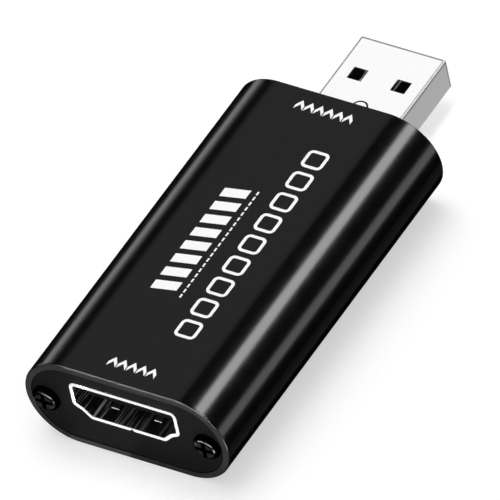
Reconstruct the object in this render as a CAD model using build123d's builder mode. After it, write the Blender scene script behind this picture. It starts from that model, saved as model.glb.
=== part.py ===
from build123d import *
import os
from math import sqrt

# Video capture box: a flat-oval metal housing with a video socket in its front end and a plug at its rear.
# Millimetres. The origin is the middle of the housing's flat underside, +Y runs from the socket to the plug,
# and +Z is up. Every upright section is drawn at its rear end and runs forward from there.

# Housing
body_width = 28.5
body_height = 13.0
body_length = 51.7
wall = 0.9
edge_round = 0.25

# End plates, let into the housing's ends
plate_thickness = 1.5
plate_recess = 0.1
plate_fit = 0.05
plate_edge_round = 0.05

# Pan-head screws with a cross recess
head_radius = 1.85
head_height = 0.9
head_round = 0.85
head_margin = 0.25
recess_reach = 1.3
recess_width = 0.6
recess_depth = 0.6
recess_draft = 10
thread_radius = 1.0
thread_depth = 0.22
thread_pitch = 0.5
thread_fit = 0.04
shank_length = 6.0
point_length = 0.9

# Screw ports and board rails, which run along the housing's inside
port_wall = 0.61
port_web = 1.2
port_slot = 0.8
rail_thickness = 0.8
rail_cover = 1.2

# Circuit board
board_thickness = 1.2
board_fit = 0.1
board_side_gap = 0.5
board_end_gap = 0.2
board_corner = 0.6
leg_fit = 0.1
leg_reach = 0.8

# Video socket: its mouth, and the sheet-metal shell round it
mouth_width = 14.1
mouth_height = 4.55
mouth_corner = 0.45
mouth_bend = 0.3
mouth_half_shares = ((1.0, 1.0), (1.0, 0.335), (0.866, 0.24), (0.711, 0.0))
mouth_gap = 0.12
socket_lift = 0.47
socket_depth = 11.5
socket_sheet = 0.3
lip_width = 0.46
lip_depth = 0.6
lip_proud = 0.1
seam_offset = 0.47
seam_width = 0.03
seam_notch_width = 0.5
seam_notch_depth = 0.28
finger_width = 1.04
finger_spacing = 6.0
finger_length = 5.0
finger_tip_depth = 2.0
finger_tip_round = 0.15
finger_rise = 0.4
finger_dip = 0.28
finger_gap = 0.25
finger_crest_share = 0.18
socket_leg_width = 1.2
socket_leg_depth = 4.6
socket_leg_spacing = 5.2
socket_leg_point = 0.25
hood_gap = 0.3
hood_overlap = 1.0
hood_board_gap = 0.15
hood_side_gap = 0.9
hood_bend = 0.45

# Video socket: insulator, tongue and contacts
insulator_length = 3.6
insulator_fit = 0.05
tongue_width = 11.6
tongue_thickness = 1.1
tongue_setback = 1.2
tongue_drop = 1.25
tongue_chamfer = 0.2
upper_contact_count = 10
contact_pitch = 1.0
contact_width = 0.4
contact_thickness = 0.2
contact_sink = 0.1
contact_setback = 0.7
contact_fit = 0.02
contact_bend = 0.3
tail_gap = 0.4
tail_step = 1.0
tail_foot = 0.9

# Plug: its shell, insulator and contacts
plug_width = 12.0
plug_height = 4.5
plug_reach = 15.3
plug_root = 3.5
plug_sheet = 0.3
plug_corner = 0.28
plug_inner_corner = 0.1
plug_tip_round = 0.24
plug_rise = 0.05
plug_gap = 0.12
window_size = 2.0
window_spacing = 6.1
window_setback = 5.0
tab_radius = 1.1
tab_slit = 0.24
tab_leg = 1.6
tab_offset = 4.43
plug_seam = 0.1
plug_leg_length = 2.2
plug_leg_rise = 1.0
plug_leg_overlap = 1.5
plug_insulator_fit = 0.05
plug_block_length = 6.2
plug_tongue_setback = 0.5
plug_tongue_chamfer = 0.3
plug_contact_width = 1.0
plug_contact_thickness = 0.2
plug_contact_sink = 0.1
plug_contact_fit = 0.03
plug_tail = 1.4
outer_contact_offset = 3.5
outer_contact_setback = 1.6
inner_contact_offset = 1.0
inner_contact_setback = 2.6

# Rows of parts on the circuit board's free field, with gaps that are shares of the room the parts leave
field_margin = 0.6
field_side_gap = 0.2
left_gap_shares = (0.082, 0.197, 0.166, 0.155, 0.142, 0.149)
right_gap_shares = (0.115, 0.196, 0.278, 0.175)
middle_gap_shares = (0.42, 0.132, 0.126, 0.206)
front_gap_shares = (0.324, 0.347)
rear_gap_shares = (0.329, 0.171, 0.071)
capacitor_gap_shares = (0.42, 0.21, 0.21)
surge_place_share = 0.29

capture_side = 7.0
capture_height = 1.4
capture_standoff = 0.1
capture_lead_count = 12
capture_lead_pitch = 0.5
capture_lead_width = 0.22
capture_lead_thickness = 0.13
capture_lead_reach = 1.0
capture_lead_bend = 0.18

memory_width = 3.9
memory_length = 4.9
memory_height = 1.5
memory_standoff = 0.15
memory_lead_count = 4
memory_lead_pitch = 1.27
memory_lead_width = 0.42
memory_lead_thickness = 0.16
memory_lead_reach = 1.05
memory_lead_bend = 0.22

regulator_width = 1.6
regulator_length = 2.9
regulator_height = 1.1
regulator_standoff = 0.1
regulator_lead_count = 3
regulator_lead_pitch = 0.95
regulator_lead_width = 0.38
regulator_lead_thickness = 0.12
regulator_lead_reach = 0.6
regulator_lead_bend = 0.16

case_chamfer = 0.12
mark_radius = 0.3
mark_depth = 0.1
mark_inset = 0.65
small_mark_share = 0.45

crystal_width = 4.7
crystal_length = 11.4
crystal_base_height = 0.6
crystal_can_height = 2.2
crystal_flange = 0.45
crystal_flange_height = 0.3
crystal_can_round = 0.4
crystal_lead_width = 0.6
crystal_lead_thickness = 0.2
crystal_lead_reach = 1.0
crystal_lead_rise = 0.45

inductor_side = 4.0
inductor_height = 1.8
inductor_corner = 0.5
inductor_well_radius = 1.3
inductor_well_depth = 0.25
inductor_terminal_width = 1.4
inductor_terminal_thickness = 0.2
inductor_terminal_rise = 0.7

surge_width = 2.5
surge_length = 1.0
surge_height = 0.55

capacitor_length = 1.6
capacitor_width = 0.8
capacitor_height = 0.8
capacitor_terminal = 0.3

resistor_length = 1.0
resistor_width = 0.5
resistor_height = 0.35
resistor_terminal = 0.2
resistor_count = 8
resistor_spacing = 1.8

# How far a cut runs past what it cuts
overrun = 0.5

# Heights and depths that follow from the sizes above
front_y = -body_length / 2
rear_y = body_length / 2
body_mid = body_height / 2
inner_width = body_width - 2 * wall
inner_height = body_height - 2 * wall
seat_depth = plate_recess + plate_thickness
core_radius = thread_radius - thread_depth
hole_radius = thread_radius + thread_fit
port_radius = hole_radius + port_wall
port_inset = head_radius + head_margin
port_x = inner_width / 2 - port_inset

board_top = body_mid - port_radius - board_fit
board_bottom = board_top - board_thickness
rail_top = board_bottom - board_fit
board_front = front_y + seat_depth + board_end_gap
board_rear = rear_y - seat_depth - board_end_gap

mouth_y = front_y + plate_recess - lip_proud
mouth_bottom = board_top + socket_lift + socket_sheet
mouth_top = mouth_bottom + mouth_height
mouth_mid = (mouth_bottom + mouth_top) / 2
socket_rear = mouth_y + socket_depth
tongue_top = mouth_top - tongue_drop
tongue_bottom = tongue_top - tongue_thickness
upper_contact_z = tongue_top - contact_sink
lower_contact_z = tongue_bottom + contact_sink - contact_thickness
lower_drop = socket_rear + tail_gap
upper_drop = lower_drop + tail_step
hood_inside = upper_drop + tail_foot + hood_gap

plug_mid = board_top + plug_rise
plug_floor = plug_mid - plug_height / 2 + plug_sheet
plug_ceiling = plug_mid + plug_height / 2 - plug_sheet
plug_tip = rear_y + plug_reach
plug_inner_end = rear_y - plug_root
plug_leg_x = (plug_width - plug_sheet) / 2

field_front = hood_inside + socket_sheet + field_margin
field_rear = plug_inner_end - plug_tail - field_margin
field_half = port_x - port_radius - field_side_gap
capture_span = capture_side + 2 * capture_lead_reach
memory_span = memory_width + 2 * memory_lead_reach
regulator_span = regulator_width + 2 * regulator_lead_reach
crystal_span = crystal_length + 2 * crystal_lead_reach
inductor_span = inductor_side + 2 * inductor_terminal_thickness


def across(y):
    """Upright plane across the body at a distance along it, facing the front."""
    return Plane.XZ.offset(-y)


def hollow_reach(height):
    """Half width of the housing's hollow at a height above its underside."""
    return (body_width - body_height) / 2 + sqrt((inner_height / 2) ** 2 - (height - body_mid) ** 2)


def spread(low, high, lengths, gap_shares):
    """Middles of the parts in a row between two limits."""
    room = high - low - sum(lengths)
    middles = []
    edge = low
    for length, share in zip(lengths, gap_shares):
        edge += share * room + length
        middles.append(edge - length / 2)
    return middles


def mouth_outline(margin):
    """Outline of the video socket's mouth, grown by a margin, with the mouth's bottom edge on the X axis."""
    right = [(x * mouth_width / 2, z * mouth_height) for x, z in mouth_half_shares]
    left = [(-x, z) for x, z in reversed(right)]
    with BuildSketch(mode=Mode.PRIVATE) as outline:
        with BuildLine():
            Polyline(*right, *left, close=True)
        make_face()
        if margin:
            offset(amount=margin, kind=Kind.INTERSECTION)
        fillet(outline.vertices().group_by(Axis.Y)[1], mouth_bend)
        levels = outline.vertices().group_by(Axis.Y)
        fillet(levels[0] + levels[-2] + levels[-1], mouth_corner + margin)
    return outline.sketch


mouth_inside = mouth_outline(0)
mouth_outside = mouth_outline(socket_sheet)
mouth_lip = mouth_outline(lip_width)
mouth_cutout = mouth_outline(lip_width + mouth_gap)
mouth_block = mouth_outline(-insulator_fit)

os.makedirs("parts", exist_ok=True)

# Housing: the screw ports and board rails stand out of the sleeve's inner wall
board_width = 2 * (hollow_reach(board_bottom) - board_side_gap)

with BuildSketch() as ports_and_rails:
    with Locations((port_x, body_mid)):
        Circle(port_radius)
        Rectangle(port_inset + wall, port_web, align=(Align.MIN, Align.CENTER))
        Circle(hole_radius, mode=Mode.SUBTRACT)
        Rectangle(port_radius + overrun, port_slot, align=(Align.MAX, Align.CENTER), mode=Mode.SUBTRACT)
    with Locations((board_width / 2 - rail_cover, rail_top)):
        Rectangle(rail_cover + board_side_gap + wall, rail_thickness, align=(Align.MIN, Align.MAX))
    mirror(about=Plane.YZ)

with BuildPart() as housing:
    with BuildSketch(across(rear_y)):
        with Locations((0, body_mid)):
            SlotOverall(body_width, body_height)
    extrude(amount=body_length)
    fillet(housing.faces().filter_by(Axis.Y).edges(), edge_round)
    with BuildSketch(across(rear_y + overrun)):
        with Locations((0, body_mid)):
            SlotOverall(inner_width, inner_height)
        add(ports_and_rails.sketch, mode=Mode.SUBTRACT)
    extrude(amount=body_length + 2 * overrun, mode=Mode.SUBTRACT)
    with BuildSketch(across(front_y + seat_depth), across(rear_y + overrun)):
        with Locations((0, body_mid)):
            SlotOverall(inner_width, inner_height)
    extrude(amount=seat_depth + overrun, mode=Mode.SUBTRACT)
housing.part.label = "housing"
export_step(housing.part, "parts/housing.step")


def plate(outer_face, outward, opening, base):
    """End plate let into the housing, with two screw holes and an opening drawn from its base line."""
    with BuildPart() as made:
        with BuildSketch(across(max(outer_face, outer_face - outward * plate_thickness))):
            with Locations((0, body_mid)):
                SlotOverall(inner_width - 2 * plate_fit, inner_height - 2 * plate_fit)
        extrude(amount=plate_thickness)
        fillet(made.faces().sort_by(Axis((0, 0, 0), (0, outward, 0)))[-1].edges(), plate_edge_round)
        with BuildSketch(across(max(outer_face, outer_face - outward * plate_thickness))):
            with Locations((0, body_mid)):
                with GridLocations(2 * port_x, 0, 2, 1):
                    Circle(hole_radius)
            with Locations((0, base)):
                add(opening)
        extrude(amount=plate_thickness, mode=Mode.SUBTRACT)
    return made


# Front plate, with the opening for the video socket
front_plate = plate(front_y + plate_recess, -1, mouth_cutout, mouth_bottom)
front_plate.part.label = "front_plate"
export_step(front_plate.part, "parts/front_plate.step")

# Rear plate, with the opening for the plug
with BuildSketch() as plug_opening:
    RectangleRounded(plug_width + 2 * plug_gap, plug_height + 2 * plug_gap, plug_corner + plug_gap)

rear_plate = plate(rear_y - plate_recess, 1, plug_opening.sketch, plug_mid)
rear_plate.part.label = "rear_plate"
export_step(rear_plate.part, "parts/rear_plate.step")

# One screw, standing head up on the plane Z = 0
thread_turns = int((shank_length - point_length) / thread_pitch)
thread_profile = [(0, 0), (core_radius, 0)]
for turn in range(thread_turns):
    thread_profile.append((thread_radius, -(turn + 1 / 2) * thread_pitch))
    thread_profile.append((core_radius, -(turn + 1) * thread_pitch))
thread_profile.append((0, -shank_length))

with BuildPart() as screw:
    Cylinder(head_radius, head_height, align=(Align.CENTER, Align.CENTER, Align.MIN))
    fillet(screw.edges().group_by(Axis.Z)[-1], head_round)
    with BuildSketch(Plane.XZ):
        with BuildLine():
            Polyline(*thread_profile, close=True)
        make_face()
    revolve(axis=Axis.Z)
    with BuildSketch(Plane.XY.offset(head_height)):
        Rectangle(2 * recess_reach, recess_width)
        Rectangle(recess_width, 2 * recess_reach)
    extrude(amount=-recess_depth, taper=recess_draft, mode=Mode.SUBTRACT)


def screw_pair(face_y, outward):
    """The two screws of one end plate, their heads on its outer face."""
    seats = [
        Plane(origin=(side * port_x, face_y, body_mid), x_dir=(1, 0, 0), z_dir=(0, outward, 0))
        for side in (-1, 1)
    ]
    with BuildPart() as pair:
        with Locations(*seats):
            add(screw.part)
    return pair


front_screws = screw_pair(front_y + plate_recess, -1)
front_screws.part.label = "front_screws"
export_step(front_screws.part, "parts/front_screws.step")

rear_screws = screw_pair(rear_y - plate_recess, 1)
rear_screws.part.label = "rear_screws"
export_step(rear_screws.part, "parts/rear_screws.step")

# Spring fingers of the video socket's shell: a pair in its bottom wall, and their mirror image in its top
finger_root = mouth_y + finger_tip_depth + finger_length
finger_crest = mouth_y + finger_tip_depth + finger_crest_share * finger_length
finger_places = (-finger_spacing / 2, finger_spacing / 2)

with BuildPart() as spring_fingers:
    with BuildSketch(*[Plane.YZ.offset(x) for x in finger_places]):
        with BuildLine():
            Polyline(
                (finger_root + socket_sheet, mouth_bottom),
                (finger_root, mouth_bottom),
                (finger_crest, mouth_bottom + finger_rise),
                (mouth_y + finger_tip_depth, mouth_bottom + finger_rise - finger_dip),
            )
            offset(amount=socket_sheet, side=Side.LEFT)
        make_face()
    extrude(amount=finger_width / 2, both=True)
    fillet(spring_fingers.edges().filter_by(Axis.X).group_by(Axis.Y)[0], finger_tip_round)
    mirror(about=Plane.XY.offset(mouth_mid))

# Shell of the video socket, with a flared lip, a butt seam, four legs and a hood over the contact tails
leg_row = mouth_y + socket_leg_depth + socket_leg_spacing / 2
leg_foot = board_bottom - leg_reach

with BuildPart() as video_socket_shell:
    with BuildSketch(across(socket_rear)):
        with Locations((0, mouth_bottom)):
            add(mouth_outside)
    extrude(amount=socket_depth)
    with BuildSketch(across(mouth_y + lip_depth)):
        with Locations((0, mouth_bottom)):
            add(mouth_lip)
    extrude(amount=lip_depth)
    with BuildSketch(Plane.XY.offset(leg_foot)):
        with Locations((0, leg_row)):
            with GridLocations(mouth_width + socket_sheet, socket_leg_spacing, 2, 2):
                Rectangle(socket_sheet, socket_leg_width)
    extrude(amount=mouth_mid - leg_foot)
    chamfer(video_socket_shell.edges().group_by(Axis.Z)[0].filter_by(Axis.X), socket_leg_point)
    with BuildSketch(across(socket_rear + overrun)):
        with Locations((0, mouth_bottom)):
            add(mouth_inside)
    extrude(amount=socket_depth + 2 * overrun, mode=Mode.SUBTRACT)
    with BuildSketch(Plane.XY.offset(mouth_bottom - socket_sheet - overrun)):
        with Locations((0, mouth_y + finger_tip_depth - finger_gap)):
            with GridLocations(finger_spacing, 0, 2, 1):
                Rectangle(
                    finger_width + 2 * finger_gap, finger_length + finger_gap, align=(Align.CENTER, Align.MIN)
                )
    extrude(amount=mouth_height + 2 * (socket_sheet + overrun), mode=Mode.SUBTRACT)
    add(spring_fingers.part)
    with BuildSketch(across(socket_rear + overrun)):
        with Locations((seam_offset, mouth_bottom + socket_sheet)):
            Rectangle(seam_width, socket_sheet + lip_width + overrun, align=(Align.CENTER, Align.MAX))
    extrude(amount=socket_depth + 2 * overrun, mode=Mode.SUBTRACT)
    with BuildSketch(across(mouth_y + lip_depth)):
        with Locations((seam_offset, mouth_bottom - lip_width)):
            Polygon(
                (-seam_notch_width / 2, -overrun),
                (seam_notch_width / 2, -overrun),
                (seam_notch_width / 2, 0),
                (0, seam_notch_depth),
                (-seam_notch_width / 2, 0),
                align=None,
            )
    extrude(amount=lip_depth + overrun, mode=Mode.SUBTRACT)
    with BuildSketch(Plane.YZ):
        with BuildLine():
            FilletPolyline(
                (socket_rear - hood_overlap, mouth_top),
                (hood_inside, mouth_top),
                (hood_inside, board_top + hood_board_gap),
                radius=hood_bend,
            )
            offset(amount=socket_sheet, side=Side.LEFT)
        make_face()
    extrude(amount=mouth_width / 2 - hood_side_gap, both=True)
video_socket_shell.part.label = "video_socket_shell"
export_step(video_socket_shell.part, "parts/video_socket_shell.step")

# Contacts of the video socket: ten over the tongue and nine under it, half a pitch apart
upper_contact_places = [
    (place - (upper_contact_count - 1) / 2) * contact_pitch for place in range(upper_contact_count)
]
lower_contact_places = [x + contact_pitch / 2 for x in upper_contact_places[:-1]]
contact_front = mouth_y + tongue_setback + contact_setback


def contact_row(places, run_z, drop):
    """Row of contacts that run back along the tongue, drop behind the shell and end on the board."""
    with BuildPart() as row:
        with BuildSketch(*[Plane.YZ.offset(x) for x in places]):
            with BuildLine():
                FilletPolyline(
                    (contact_front, run_z),
                    (drop, run_z),
                    (drop, board_top),
                    (drop + tail_foot, board_top),
                    radius=contact_bend,
                )
                offset(amount=contact_thickness, side=Side.LEFT)
            make_face()
        extrude(amount=contact_width / 2, both=True)
    return row


video_socket_upper_contacts = contact_row(upper_contact_places, upper_contact_z, upper_drop)
video_socket_upper_contacts.part.label = "video_socket_upper_contacts"
export_step(video_socket_upper_contacts.part, "parts/video_socket_upper_contacts.step")

video_socket_lower_contacts = contact_row(lower_contact_places, lower_contact_z, lower_drop)
video_socket_lower_contacts.part.label = "video_socket_lower_contacts"
export_step(video_socket_lower_contacts.part, "parts/video_socket_lower_contacts.step")

# Insulator of the video socket: a block that fills the shell's rear, a tongue, and a channel for each contact
block_front = socket_rear - insulator_length
channel_length = socket_rear + overrun - contact_front + contact_fit

with BuildPart() as video_socket_insulator:
    with BuildSketch(across(block_front)):
        with Locations((0, tongue_top - tongue_thickness / 2)):
            Rectangle(tongue_width, tongue_thickness)
    extrude(amount=block_front - mouth_y - tongue_setback)
    tongue_tip = video_socket_insulator.faces().sort_by(Axis.Y)[0]
    chamfer(tongue_tip.edges().filter_by(Axis.X), tongue_chamfer)
    with BuildSketch(across(socket_rear)):
        with Locations((0, mouth_bottom)):
            add(mouth_block)
    extrude(amount=insulator_length)
    with BuildSketch(*[Plane.YZ.offset(x) for x in upper_contact_places]):
        with Locations((contact_front - contact_fit, upper_contact_z)):
            Rectangle(channel_length, contact_thickness + contact_fit, align=(Align.MIN, Align.MIN))
    extrude(amount=contact_width / 2 + contact_fit, both=True, mode=Mode.SUBTRACT)
    with BuildSketch(*[Plane.YZ.offset(x) for x in lower_contact_places]):
        with Locations((contact_front - contact_fit, tongue_bottom + contact_sink)):
            Rectangle(channel_length, contact_thickness + contact_fit, align=(Align.MIN, Align.MAX))
    extrude(amount=contact_width / 2 + contact_fit, both=True, mode=Mode.SUBTRACT)
video_socket_insulator.part.label = "video_socket_insulator"
export_step(video_socket_insulator.part, "parts/video_socket_insulator.step")

# Shell of the plug, with two windows in its top and bottom, a stamped tab, a seam and two legs
tab_y = rear_y + tab_offset
plug_length = plug_reach + plug_root

with BuildPart() as plug_shell:
    with BuildSketch(across(plug_tip)):
        with Locations((0, plug_mid)):
            RectangleRounded(plug_width, plug_height, plug_corner)
    extrude(amount=plug_length)
    fillet(plug_shell.faces().sort_by(Axis.Y)[-1].edges(), plug_tip_round)
    with BuildSketch(across(plug_tip + overrun)):
        with Locations((0, plug_mid)):
            RectangleRounded(plug_width - 2 * plug_sheet, plug_height - 2 * plug_sheet, plug_inner_corner)
    extrude(amount=plug_length + 2 * overrun, mode=Mode.SUBTRACT)
    with BuildSketch(Plane.XY.offset(plug_mid - plug_height / 2 - overrun)):
        with Locations((0, plug_tip - window_setback - window_size / 2)):
            with GridLocations(window_spacing, 0, 2, 1):
                Rectangle(window_size, window_size)
    extrude(amount=plug_height + 2 * overrun, mode=Mode.SUBTRACT)
    with BuildSketch(Plane.XY.offset(plug_mid)):
        with Locations((0, tab_y)):
            Circle(tab_radius)
            Rectangle(2 * tab_radius, tab_leg, align=(Align.CENTER, Align.MAX))
            Circle(tab_radius - tab_slit, mode=Mode.SUBTRACT)
            Rectangle(
                2 * (tab_radius - tab_slit), tab_leg, align=(Align.CENTER, Align.MAX), mode=Mode.SUBTRACT
            )
    extrude(amount=plug_height / 2 + overrun, mode=Mode.SUBTRACT)
    with BuildSketch(across(plug_tip + overrun)):
        with Locations((0, plug_floor + overrun)):
            Rectangle(plug_seam, plug_sheet + 2 * overrun, align=(Align.CENTER, Align.MAX))
    extrude(amount=plug_length + 2 * overrun, mode=Mode.SUBTRACT)
    with BuildSketch(Plane.XY.offset(leg_foot)):
        with Locations((0, plug_inner_end - plug_leg_length)):
            with GridLocations(2 * plug_leg_x, 0, 2, 1):
                Rectangle(plug_sheet, plug_leg_length + plug_leg_overlap, align=(Align.CENTER, Align.MIN))
    extrude(amount=plug_mid + plug_leg_rise - leg_foot)
plug_shell.part.label = "plug_shell"
export_step(plug_shell.part, "parts/plug_shell.step")

# Contacts of the plug: flat strips on the insulator, level with the board's top, where their tails lie
plug_contact_runs = [
    (side * offset_x, plug_tip - setback)
    for offset_x, setback in (
        (outer_contact_offset, outer_contact_setback),
        (inner_contact_offset, inner_contact_setback),
    )
    for side in (-1, 1)
]
plug_contact_rear = plug_inner_end - plug_tail

with BuildPart() as plug_contacts:
    with BuildSketch(Plane.XY.offset(board_top)):
        for x, front in plug_contact_runs:
            with Locations((x, plug_contact_rear)):
                Rectangle(plug_contact_width, front - plug_contact_rear, align=(Align.CENTER, Align.MIN))
    extrude(amount=plug_contact_thickness)
plug_contacts.part.label = "plug_contacts"
export_step(plug_contacts.part, "parts/plug_contacts.step")

# Insulator of the plug: a tongue on the shell's floor, and a block that fills the shell's root
plug_insulator_width = plug_width - 2 * (plug_sheet + plug_insulator_fit)
plug_tongue_height = board_top + plug_contact_sink - plug_floor
plug_block_height = plug_ceiling - plug_insulator_fit - plug_floor
plug_tongue_front = plug_tip - plug_tongue_setback

with BuildPart() as plug_insulator:
    with BuildSketch(across(plug_tongue_front)):
        with Locations((0, plug_floor)):
            Rectangle(plug_insulator_width, plug_tongue_height, align=(Align.CENTER, Align.MIN))
    extrude(amount=plug_tongue_front - plug_inner_end)
    fillet(plug_insulator.edges().filter_by(Axis.Y).group_by(Axis.Z)[0], plug_inner_corner)
    tongue_nose = plug_insulator.faces().sort_by(Axis.Y)[-1]
    chamfer(tongue_nose.edges().filter_by(Axis.X).sort_by(Axis.Z)[-1], plug_tongue_chamfer)
    with BuildSketch(across(plug_inner_end + plug_block_length)):
        with Locations((0, plug_floor + plug_block_height / 2)):
            RectangleRounded(plug_insulator_width, plug_block_height, plug_inner_corner)
    extrude(amount=plug_block_length)
    with BuildSketch(Plane.XY.offset(board_top)):
        for x, front in plug_contact_runs:
            with Locations((x, front + plug_contact_fit)):
                Rectangle(
                    plug_contact_width + 2 * plug_contact_fit,
                    front + plug_contact_fit - plug_inner_end + overrun,
                    align=(Align.CENTER, Align.MAX),
                )
    extrude(amount=plug_contact_thickness + plug_contact_fit, mode=Mode.SUBTRACT)
plug_insulator.part.label = "plug_insulator"
export_step(plug_insulator.part, "parts/plug_insulator.step")

# Circuit board between the rails and the screw ports, with slots for the legs and a notch for the plug
notch_front = plug_inner_end - plug_gap

with BuildPart() as circuit_board:
    with BuildSketch(Plane.XY.offset(board_bottom)):
        with Locations((0, (board_front + board_rear) / 2)):
            RectangleRounded(board_width, board_rear - board_front, board_corner)
        with Locations((0, notch_front)):
            Rectangle(
                plug_width + 2 * plug_gap,
                board_rear - notch_front + overrun,
                align=(Align.CENTER, Align.MIN),
                mode=Mode.SUBTRACT,
            )
        with Locations((0, leg_row)):
            with GridLocations(mouth_width + socket_sheet, socket_leg_spacing, 2, 2):
                Rectangle(socket_sheet + 2 * leg_fit, socket_leg_width + 2 * leg_fit, mode=Mode.SUBTRACT)
        with Locations((0, plug_inner_end - plug_leg_length - leg_fit)):
            with GridLocations(2 * plug_leg_x, 0, 2, 1):
                Rectangle(
                    plug_sheet + 2 * leg_fit,
                    plug_leg_length + leg_fit,
                    align=(Align.CENTER, Align.MIN),
                    mode=Mode.SUBTRACT,
                )
    extrude(amount=board_thickness)
circuit_board.part.label = "circuit_board"
export_step(circuit_board.part, "parts/circuit_board.step")


def chip_cases(places, width, length, height, standoff, mark_scale):
    """Moulded chip packages over the board, each with a round mark by its first lead."""
    with BuildPart() as cases:
        with BuildSketch(Plane.XY.offset(board_top + standoff)):
            with Locations(*places):
                Rectangle(width, length)
        extrude(amount=height - standoff)
        chamfer(cases.faces().group_by(Axis.Z)[-1].edges(), case_chamfer)
        inset = mark_scale * mark_inset
        marks = [(x - width / 2 + inset, y - length / 2 + inset) for x, y in places]
        with BuildSketch(Plane.XY.offset(board_top + height)):
            with Locations(*marks):
                Circle(mark_scale * mark_radius)
        extrude(amount=-mark_depth, mode=Mode.SUBTRACT)
    return cases


def chip_leads(places, sides, case_reach, exit_height, reach, width, thickness, bend, count, pitch):
    """Bent leads of chip packages, from the middle of each side down to a foot on the board."""
    with BuildPart() as lead:
        with BuildSketch(Plane.XZ):
            with BuildLine():
                FilletPolyline(
                    (case_reach, exit_height),
                    (case_reach + reach / 2, exit_height),
                    (case_reach + reach / 2, 0),
                    (case_reach + reach, 0),
                    radius=bend,
                )
                offset(amount=thickness, side=Side.LEFT)
            make_face()
        extrude(amount=width / 2, both=True)
    with BuildPart() as leads:
        with Locations(*[(x, y, board_top) for x, y in places]):
            with PolarLocations(0, sides):
                with GridLocations(0, pitch, 1, count):
                    add(lead.part)
    return leads


# Rows along the board: on its left, on its right behind the resistors, and in the middle behind the chip
surge_y, resistor_y, crystal_y, *regulator_rows, last_capacitor_y = spread(
    field_front,
    field_rear,
    (surge_length, resistor_length, crystal_span, regulator_length, regulator_length, capacitor_width),
    left_gap_shares,
)
front_capacitor_y, capture_y, memory_y, rear_capacitor_y = spread(
    resistor_y + resistor_length / 2,
    field_rear,
    (capacitor_width, capture_span, memory_length, capacitor_width),
    right_gap_shares,
)
*middle_capacitor_rows, inductor_y = spread(
    capture_y + capture_span / 2,
    field_rear,
    (capacitor_width, capacitor_width, capacitor_width, inductor_side),
    middle_gap_shares,
)

# Rows across the board: its front and rear parts, and the threes of capacitors on its right half
crystal_x, capture_x = spread(-field_half, field_half, (crystal_width, capture_span), front_gap_shares)
regulator_x, inductor_x, memory_x = spread(
    -field_half, field_half, (regulator_span, inductor_span, memory_span), rear_gap_shares
)
capacitor_columns = spread(
    0, field_half, (capacitor_length, capacitor_length, capacitor_length), capacitor_gap_shares
)

# Capture chip, with leads on all four sides
capture_places = [(capture_x, capture_y)]
capture_chip = chip_cases(
    capture_places, capture_side, capture_side, capture_height, capture_standoff, mark_scale=1
)
capture_chip.part.label = "capture_chip"
export_step(capture_chip.part, "parts/capture_chip.step")

capture_chip_leads = chip_leads(
    capture_places,
    4,
    capture_side / 2,
    (capture_height + capture_standoff - capture_lead_thickness) / 2,
    capture_lead_reach,
    capture_lead_width,
    capture_lead_thickness,
    capture_lead_bend,
    capture_lead_count,
    capture_lead_pitch,
)
capture_chip_leads.part.label = "capture_chip_leads"
export_step(capture_chip_leads.part, "parts/capture_chip_leads.step")

# Memory chip
memory_places = [(memory_x, memory_y)]
memory_chip = chip_cases(
    memory_places, memory_width, memory_length, memory_height, memory_standoff, mark_scale=1
)
memory_chip.part.label = "memory_chip"
export_step(memory_chip.part, "parts/memory_chip.step")

memory_chip_leads = chip_leads(
    memory_places,
    2,
    memory_width / 2,
    (memory_height + memory_standoff - memory_lead_thickness) / 2,
    memory_lead_reach,
    memory_lead_width,
    memory_lead_thickness,
    memory_lead_bend,
    memory_lead_count,
    memory_lead_pitch,
)
memory_chip_leads.part.label = "memory_chip_leads"
export_step(memory_chip_leads.part, "parts/memory_chip_leads.step")

# Two voltage regulators
regulator_places = [(regulator_x, y) for y in regulator_rows]
voltage_regulators = chip_cases(
    regulator_places,
    regulator_width,
    regulator_length,
    regulator_height,
    regulator_standoff,
    mark_scale=small_mark_share,
)
voltage_regulators.part.label = "voltage_regulators"
export_step(voltage_regulators.part, "parts/voltage_regulators.step")

voltage_regulator_leads = chip_leads(
    regulator_places,
    2,
    regulator_width / 2,
    (regulator_height + regulator_standoff - regulator_lead_thickness) / 2,
    regulator_lead_reach,
    regulator_lead_width,
    regulator_lead_thickness,
    regulator_lead_bend,
    regulator_lead_count,
    regulator_lead_pitch,
)
voltage_regulator_leads.part.label = "voltage_regulator_leads"
export_step(voltage_regulator_leads.part, "parts/voltage_regulator_leads.step")

# Crystal: a metal can with a flange, on an insulating base with a lead at each end
with BuildPart() as crystal_base:
    with BuildSketch(Plane.XY.offset(board_top)):
        with Locations((crystal_x, crystal_y)):
            Rectangle(crystal_width, crystal_length)
    extrude(amount=crystal_base_height)
crystal_base.part.label = "crystal_base"
export_step(crystal_base.part, "parts/crystal_base.step")

with BuildPart() as crystal_can:
    with BuildSketch(Plane.XY.offset(board_top + crystal_base_height)):
        with Locations((crystal_x, crystal_y)):
            SlotOverall(crystal_length, crystal_width, rotation=90)
    extrude(amount=crystal_flange_height)
    with BuildSketch(Plane.XY.offset(board_top + crystal_base_height)):
        with Locations((crystal_x, crystal_y)):
            SlotOverall(crystal_length - 2 * crystal_flange, crystal_width - 2 * crystal_flange, rotation=90)
    extrude(amount=crystal_can_height)
    fillet(crystal_can.faces().sort_by(Axis.Z)[-1].edges(), crystal_can_round)
crystal_can.part.label = "crystal_can"
export_step(crystal_can.part, "parts/crystal_can.step")

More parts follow.
